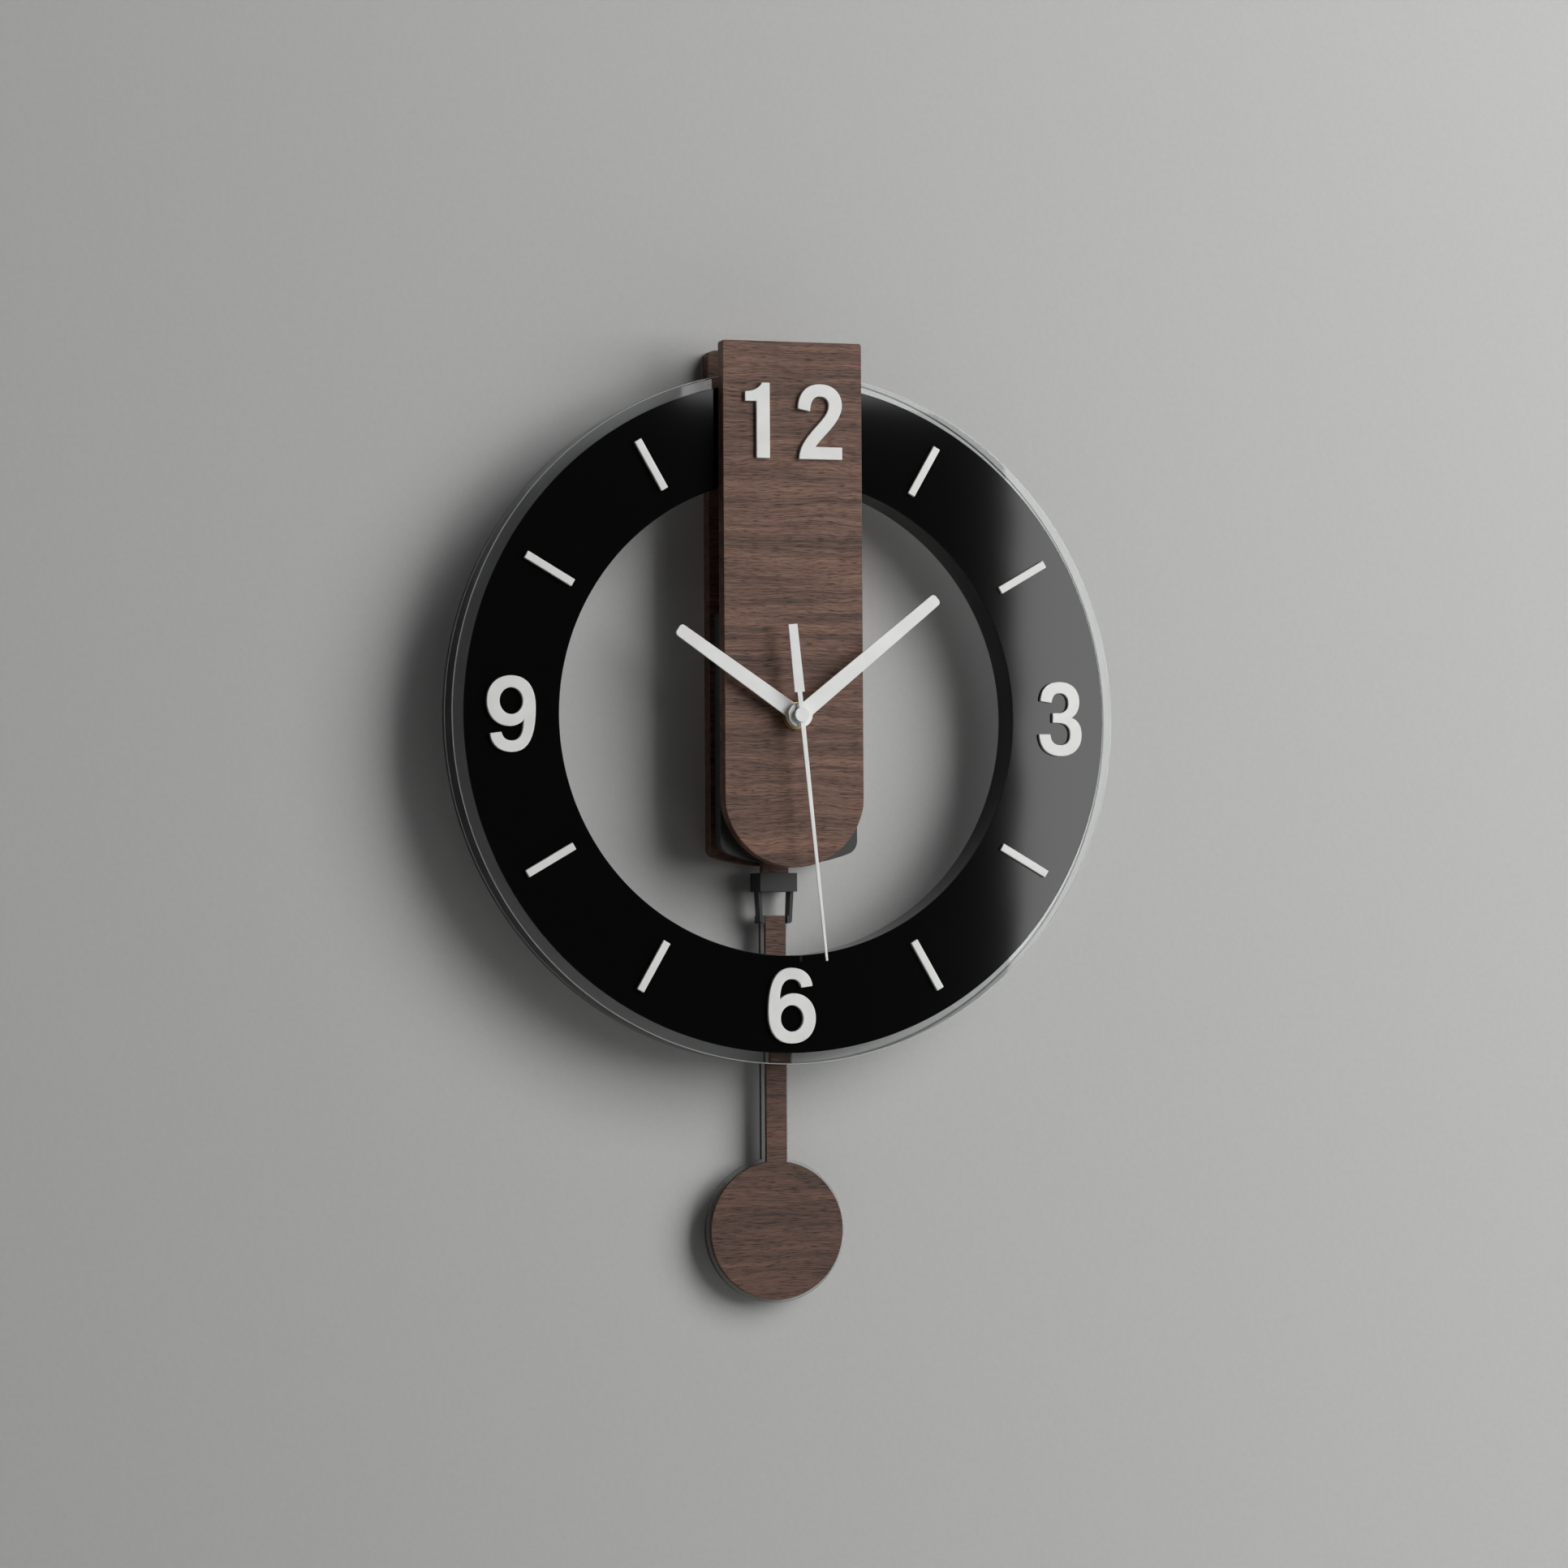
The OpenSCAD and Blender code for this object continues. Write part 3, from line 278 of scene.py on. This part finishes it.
# Zinc-plated steel: pale grey metal, fine rolling marks along X and faint clouding in the zinc.
def makeSteel():
    material, shader = newFinish("zinc-plated steel", {"Metallic": 1.0})
    lines = addNode(material, "TexNoise", {}, {"Vector": millimetres(material, (9, 0.25, 0.25)),
                                              "Scale": 1.0, "Detail": 3.0})
    cloud = addNode(material, "TexNoise", {}, {"Vector": millimetres(material, (3, 3, 3)),
                                              "Scale": 1.0, "Detail": 3.0})
    tone = addNode(material, "ValToRGB", {"stops": [(0.3, "#A9ACAF"), (0.7, "#C8CACB")]},
                   {"Fac": cloud.outputs["Fac"]})
    join(material, tone.outputs["Color"], shader, "Base Color")
    rough = addNode(material, "MapRange", {}, {"Value": lines.outputs["Fac"], "To Min": 0.26,
                                               "To Max": 0.46})
    join(material, rough.outputs[0], shader, "Roughness")
    giveBump(material, shader, lines.outputs["Fac"], 0.006 * mm)
    return material


# Enamelled copper wire wound in even turns. The real wire is 0.08 mm; the turns are drawn 0.3 mm
# apart so that they can be seen.
wire = {"turnApart": 0.3, "wavePeriod": 0.314}   # mm, and a wave texture's period at scale 1


def makeCopperWire(name, waveOptions, centre):
    material, shader = newFinish(name, {"Metallic": 1.0})
    turnsWithShade = addNode(material, "TexWave", waveOptions, {
        "Vector": millimetres(material, (1, 1, 1), centre),
        "Scale": 1 / wire["turnApart"] * wire["wavePeriod"],
        "Distortion": 0.3})
    # painted shade and highlight: each turn is dark in the groove beside it and light on its crown
    tone = addNode(material, "ValToRGB", {"stops": [(0.0, "#7A3C1B"), (0.5, "#C47A45"),
                                                   (1.0, "#D8935C")]},
                   {"Fac": turnsWithShade.outputs["Fac"]})
    join(material, tone.outputs["Color"], shader, "Base Color")
    rough = addNode(material, "MapRange", {}, {"Value": turnsWithShade.outputs["Fac"], "To Min": 0.4,
                                               "To Max": 0.28})
    join(material, rough.outputs[0], shader, "Roughness")
    giveBump(material, shader, turnsWithShade.outputs["Fac"], 0.05 * mm)
    return material


# Green solder mask over copper tracks about half a millimetre wide, with tinned pads.
def makeCircuit():
    material, shader = newFinish("green circuit board", {"IOR": 1.5})
    tracks = addNode(material, "TexVoronoi", {"feature": "F1", "distance": "CHEBYCHEV"}, {
        "Vector": millimetres(material, (2.2, 2.2, 2.2)), "Scale": 1.0})
    tone = addNode(material, "ValToRGB", {"stops": [(0.0, "#B9BBB4"), (0.16, "#B9BBB4"),
                                                   (0.19, "#1C5733"), (0.44, "#1C5733"),
                                                   (0.47, "#2C7A48"), (1.0, "#2C7A48")]},
                   {"Fac": tracks.outputs["Distance"]})
    join(material, tone.outputs["Color"], shader, "Base Color")
    rough = addNode(material, "MapRange", {}, {"Value": tracks.outputs["Distance"], "To Min": 0.25,
                                               "To Max": 0.45})
    join(material, rough.outputs[0], shader, "Roughness")
    giveBump(material, shader, tracks.outputs["Distance"], 0.03 * mm)
    return material


# Alkaline cell in a plain shrink sleeve: graphite with a copper-coloured end, no lettering.
def makeCell():
    material, shader = newFinish("printed cell sleeve", {"Metallic": 0.6})
    low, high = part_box("battery")
    along = addNode(material, "SeparateXYZ", {}, {"Vector": millimetres(material)})
    share = addNode(material, "MapRange", {}, {"Value": along.outputs["X"],
                                               "From Min": low.x * 1000, "From Max": high.x * 1000})
    tone = addNode(material, "ValToRGB", {"stops": [(0.0, "#2B2D31"), (0.66, "#34373C"),
                                                   (0.67, "#B47945"), (0.97, "#B47945"),
                                                   (0.975, "#C9CBCC"), (1.0, "#C9CBCC")]},
                   {"Fac": share.outputs[0]})
    join(material, tone.outputs["Color"], shader, "Base Color")
    fine = addNode(material, "TexNoise", {}, {"Vector": millimetres(material, (6, 0.8, 0.8)),
                                             "Scale": 1.0, "Detail": 3.0})
    rough = addNode(material, "MapRange", {}, {"Value": fine.outputs["Fac"], "To Min": 0.24,
                                               "To Max": 0.42})
    join(material, rough.outputs[0], shader, "Roughness")
    giveBump(material, shader, fine.outputs["Fac"], 0.01 * mm)
    return material


blackAcrylic = makeBlackAcrylic()
clearAcrylic = makeClearAcrylic()
brass = makeBrass()
steel = makeSteel()
coilLow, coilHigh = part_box("pendulum_coil")
driveWire = makeCopperWire("copper wire, pendulum coil", {
    "wave_type": "RINGS", "rings_direction": "Y"}, (coilLow + coilHigh) / 2)
motorWire = makeCopperWire("copper wire, motor coil", {"bands_direction": "Z"}, (0, 0, 0))
circuit = makeCircuit()
cellSleeve = makeCell()
print("finishes made")


# ---------- helpers for pieces ----------

def deselectAll():
    for thing in bpy.context.selected_objects:
        thing.select_set(False)


def makeActive(piece):
    deselectAll()
    piece.select_set(True)
    bpy.context.view_layer.objects.active = piece


def finishPiece(piece, finish, node):
    piece.data.materials.clear()
    piece.data.materials.append(finish)
    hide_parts(node)
    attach(piece, bodyOfNode[node])


def applyWeightedNormals(piece, sharpAt=40):
    makeActive(piece)
    bpy.ops.object.shade_smooth_by_angle(angle=math.radians(sharpAt))
    even = piece.modifiers.new("evenNormals", "WEIGHTED_NORMAL")
    even.weight = 100
    even.keep_sharp = True
    bpy.ops.object.modifier_apply(modifier=even.name)


def softenedCopy(node, name, edge, steps=2, sharpFrom=32):
    # a merged copy of a node with its sharp edges rounded, as sanding or polishing leaves them
    piece = bpy.data.objects.new(name, frame["nodes"][node].data.copy())
    bpy.context.scene.collection.objects.link(piece)
    makeActive(piece)
    bpy.ops.object.mode_set(mode="EDIT")
    bpy.ops.mesh.select_all(action="SELECT")
    bpy.ops.mesh.remove_doubles(threshold=0.002 * mm)
    bpy.ops.mesh.dissolve_limited(angle_limit=math.radians(0.3))
    bpy.ops.object.mode_set(mode="OBJECT")
    soft = piece.modifiers.new("softEdge", "BEVEL")
    soft.width = edge * mm
    soft.segments = steps
    soft.limit_method = "ANGLE"
    soft.angle_limit = math.radians(sharpFrom)
    bpy.ops.object.modifier_apply(modifier=soft.name)
    applyWeightedNormals(piece)
    return piece


def turnedRing(name, innerR, outerR, back, front, edge, steps=256):
    # a ring turned round the hands' axis: a plane is the profile, and it is spun round
    deselectAll()
    bpy.ops.mesh.primitive_plane_add(size=1, location=(
        (innerR + outerR) / 2 * mm, -(back + front) / 2 * mm, handAxis.z))
    piece = bpy.context.object
    piece.name = name
    piece.scale = ((outerR - innerR) * mm, (front - back) * mm, 1)
    bpy.ops.object.transform_apply(location=True, rotation=True, scale=True)
    bpy.ops.object.mode_set(mode="EDIT")
    bpy.ops.mesh.select_all(action="SELECT")
    bpy.ops.mesh.bevel(offset=edge * mm, segments=3, affect="VERTICES")
    bpy.ops.mesh.select_all(action="SELECT")
    bpy.ops.mesh.delete(type="ONLY_FACE")
    bpy.ops.mesh.select_all(action="SELECT")
    bpy.ops.mesh.spin(steps=steps, angle=2 * math.pi, center=(0, 0, handAxis.z), axis=(0, 1, 0))
    bpy.ops.mesh.select_all(action="SELECT")
    bpy.ops.mesh.remove_doubles(threshold=0.002 * mm)
    bpy.ops.mesh.normals_make_consistent(inside=False)
    bpy.ops.object.mode_set(mode="OBJECT")
    applyWeightedNormals(piece)
    return piece


def depthsOf(node):
    low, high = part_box(node)
    return -high.y / mm, -low.y / mm   # back and front, as depths out from the wall


# ---------- boards ----------

boards = {
    "frontEdge": 0.5,   # rounding of the front board's edges in mm
    "backEdge": 0.6,
}
finishPiece(softenedCopy("front_board", "frontBoard", boards["frontEdge"], 3),
            walnutFront, "front_board")
finishPiece(softenedCopy("back_board", "backBoard", boards["backEdge"], 3),
            walnutBack, "back_board")
print("boards made")

# ---------- dial ----------

dial = {
    "ringOuter": 149.9, "ringInner": 104.22, "ringEdge": 0.8,   # clear ring, radii and rounding
    "faceOuter": 145.0, "faceInner": 103.0, "faceEdge": 0.2,     # black face
    "liningOuter": 104.2, "liningEdge": 0.15,
    "gap": 0.02,   # air between the clear ring and the black sheets
    "markEdge": 0.3,   # hour bars and numerals
}
back, front = depthsOf("dial_ring")
finishPiece(turnedRing("dialRing", dial["ringInner"], dial["ringOuter"], back,
                       front - dial["gap"], dial["ringEdge"], 320),
            clearAcrylic, "dial_ring")
back, front = depthsOf("dial_face")
finishPiece(turnedRing("dialFace", dial["faceInner"], dial["faceOuter"], back, front,
                       dial["faceEdge"], 320),
            blackAcrylic, "dial_face")
back, front = depthsOf("dial_lining")
finishPiece(turnedRing("dialLining", dial["faceInner"], dial["liningOuter"], back, front,
                       dial["liningEdge"], 320),
            blackAcrylic, "dial_lining")
for node, name in (("hour_bars", "hourBars"), ("numeral_12", "numeral12"),
                   ("numeral_3", "numeral3"), ("numeral_6", "numeral6"),
                   ("numeral_9", "numeral9")):
    finishPiece(softenedCopy(node, name, dial["markEdge"], 3), whiteAcrylic, node)
print("dial made")

# ---------- hands ----------

hands = {"edge": 0.16, "nutEdge": 0.3, "nutInner": 4.02, "nutOuter": 5.9, "nutGap": 0.02}
for node, name in (("hour_hand", "hourHand"), ("minute_hand", "minuteHand"),
                   ("second_hand", "secondHand")):
    finishPiece(softenedCopy(node, name, hands["edge"], 2), whiteLacquer, node)
back, front = depthsOf("brass_nut")
finishPiece(turnedRing("brassNut", hands["nutInner"], hands["nutOuter"],
                       back + hands["nutGap"], front, hands["nutEdge"], 96),
            brass, "brass_nut")
print("hands made")

# ---------- case and pendulum ----------

case = {"edge": 0.5, "doorEdge": 0.3}
pendulum = {"yokeEdge": 0.3, "sheetEdge": 0.6, "veneerEdge": 0.2, "armEdge": 0.3}
finishPiece(softenedCopy("movement_case", "movementCase", case["edge"], 2), blackAbs,
            "movement_case")
finishPiece(softenedCopy("battery_door", "batteryDoor", case["doorEdge"], 2), blackAbs,
            "battery_door")
finishPiece(softenedCopy("pendulum_yoke", "pendulumYoke", pendulum["yokeEdge"], 2), blackAbs,
            "pendulum_yoke")
finishPiece(softenedCopy("pendulum_arm", "pendulumArm", pendulum["armEdge"], 2), walnutBob,
            "pendulum_arm")
finishPiece(softenedCopy("rod_sheet", "rodSheet", pendulum["sheetEdge"], 3), clearAcrylic,
            "rod_sheet")
finishPiece(softenedCopy("rod_veneer", "rodVeneer", pendulum["veneerEdge"], 2), walnutBob,
            "rod_veneer")
print("pendulum made")

# ---------- nodes that keep their own mesh ----------

finishOfSlot = {
    "walnut": walnutBob, "black_acrylic": blackAcrylic, "clear_acrylic": clearAcrylic,
    "white_plastic": whiteAcrylic, "white_paint": whiteLacquer, "black_plastic": blackAbs,
    "gear_plastic": acetal, "rubber": rubber, "brass": brass, "steel": steel,
    "copper": driveWire, "circuit": circuit, "battery": cellSleeve,
}
for part in frame["record"]["subparts"]:
    cadNode = frame["nodes"][part["node"]]
    cadNode.data.materials.clear()
    cadNode.data.materials.append(finishOfSlot[part["material_slot"]])
frame["nodes"]["motor_coil"].data.materials[0] = motorWire
frame["nodes"]["rotor"].data.materials[0] = blackAbs
print("finishes given")

# ---------- room ----------

room = {
    "wallWidth": 7.0, "wallHeight": 4.6, "floorDeep": 4.0, "floorBelow": 1.45,
    "wallGap": 0.0003, "floorBehind": 1.0,   # the wall is just behind the clock's back
    "wallColours": ("#BDBDBC", "#C0C0BF"), "floorColours": ("#CFCFCD", "#D5D5D3"),
}


# Emulsion paint put on with a short-pile roller: dull, with a fine stipple.
def makePaint(name, colours, seenFromBehind):
    material, shader = newFinish(name, {"Roughness": 0.85, "Specular IOR Level": 0.25})
    stipple = addNode(material, "TexNoise", {}, {"Vector": millimetres(material, (2.2, 2.2, 2.2)),
                                                "Scale": 1.0, "Detail": 2.0})
    tone = addNode(material, "ValToRGB", {"stops": [(0.3, colours[0]), (0.7, colours[1])]},
                   {"Fac": stipple.outputs["Fac"]})
    join(material, tone.outputs["Color"], shader, "Base Color")
    giveBump(material, shader, stipple.outputs["Fac"], 0.03 * mm)
    if not seenFromBehind:   # the wall isn't in the way of a look at the clock's back
        side = addNode(material, "NewGeometry")
        clear = addNode(material, "BsdfTransparent")
        both = addNode(material, "MixShader", {}, {0: side.outputs["Backfacing"],
                                                   1: shader.outputs[0], 2: clear.outputs[0]})
        material.node_tree.links.new(both.outputs[0],
                                     material.node_tree.nodes["Material Output"].inputs["Surface"])
    return material


def addSheet(name, size, place, turn, paint):
    deselectAll()
    bpy.ops.mesh.primitive_plane_add(size=1, location=place, rotation=turn)
    sheet = bpy.context.object
    sheet.name = name
    sheet.scale = (size[0], size[1], 1)
    bpy.ops.object.transform_apply(location=True, rotation=True, scale=True)
    sheet.data.materials.append(paint)
    return sheet


wall = addSheet("wall", (room["wallWidth"], room["wallHeight"]),
                (0, room["wallGap"], room["wallHeight"] / 2 - room["floorBelow"]),
                (math.pi / 2, 0, 0), makePaint("wall paint", room["wallColours"], False))
addSheet("floor", (room["wallWidth"], room["floorDeep"]),
         (0, -room["floorDeep"] / 2 + room["floorBehind"], -room["floorBelow"]),
         (0, 0, 0), makePaint("floor paint", room["floorColours"], True))

# ---------- light ----------

lamps = {   # place from the dial's centre and size in metres, light leaving the lamp in watts
    "rightPanel": {"place": (2.7125, -2.2, 1.2), "size": (3.575, 3.0), "aim": (0, 1, 0),
                   "power": 184},
    "cornerPanel": {"place": (0.75, -2.2, 0.635), "size": (0.26, 0.5), "aim": (0, 1, 0),
                    "power": 1.6},
    "leftStrip": {"place": (-1.5, -1.1, 0.1), "size": (0.08, 1.2), "aim": (1.5, 1.1, 0),
                  "power": 0.4},
    "rearPanel": {"place": (0.3, 1.8, 0.5), "size": (1.6, 1.6), "aim": (-0.3, -1.8, -0.5),
                  "power": 30},
}
for name, lamp in lamps.items():
    data = bpy.data.lights.new(name, "AREA")
    data.shape = "RECTANGLE"
    data.size, data.size_y = lamp["size"]
    data.energy = lamp["power"]
    light = bpy.data.objects.new(name, data)
    bpy.context.scene.collection.objects.link(light)
    light.location = handAxis + Vector(lamp["place"])
    light.rotation_mode = "QUATERNION"
    light.rotation_quaternion = Vector(lamp["aim"]).to_track_quat("-Z", "Y")
    light.visible_camera = False
    if name == "rearPanel":   # it lights the clock's back through the wall, and is never seen
        light.visible_transmission = False
        light.visible_glossy = False
        unblocked = bpy.data.collections.new("not in the rear panel's way")
        unblocked.objects.link(wall)
        light.light_linking.blocker_collection = unblocked
        unblocked.collection_objects[0].light_linking.link_state = "EXCLUDE"

world = bpy.data.worlds.new("studio")
bpy.context.scene.world = world
world.use_nodes = True
skies = world.node_tree
path = skies.nodes.new("ShaderNodeLightPath")
shown = skies.nodes.new("ShaderNodeBackground")
shown.inputs["Color"].default_value = toLinear("#B4B5B4")
dim = skies.nodes["Background"]
dim.inputs["Color"].default_value = toLinear("#1E1E1E")
pick = skies.nodes.new("ShaderNodeMixShader")
skies.links.new(path.outputs["Is Camera Ray"], pick.inputs[0])
skies.links.new(dim.outputs[0], pick.inputs[1])
skies.links.new(shown.outputs[0], pick.inputs[2])
skies.links.new(pick.outputs[0], skies.nodes["World Output"].inputs["Surface"])
bpy.context.scene.view_settings.view_transform = "Standard"
print("light made")

# ---------- camera ----------

view = {
    "lens": 125.12, "turn": 18.254, "up": 2.083, "roll": -0.338,   # mm and degrees
    "fromDial": (-0.7378, -2.2618, -0.1145),   # place from the dial's centre on the wall
}
turn, up, roll = (math.radians(view[k]) for k in ("turn", "up", "roll"))
ahead = Vector((math.sin(turn) * math.cos(up), math.cos(turn) * math.cos(up), math.sin(up)))
right = Vector((math.cos(turn), -math.sin(turn), 0))
above = right.cross(ahead)
rolledRight = right * math.cos(roll) + above * math.sin(roll)
rolledAbove = above * math.cos(roll) - right * math.sin(roll)
cameraData = bpy.data.cameras.new("camera")
cameraData.lens = view["lens"]
cameraData.sensor_width = 36
camera = bpy.data.objects.new("camera", cameraData)
bpy.context.scene.collection.objects.link(camera)
camera.matrix_world = Matrix.Translation(handAxis + Vector(view["fromDial"])) @ Matrix((
    rolledRight, rolledAbove, -ahead)).transposed().to_4x4()
bpy.context.scene.camera = camera
print("camera made")
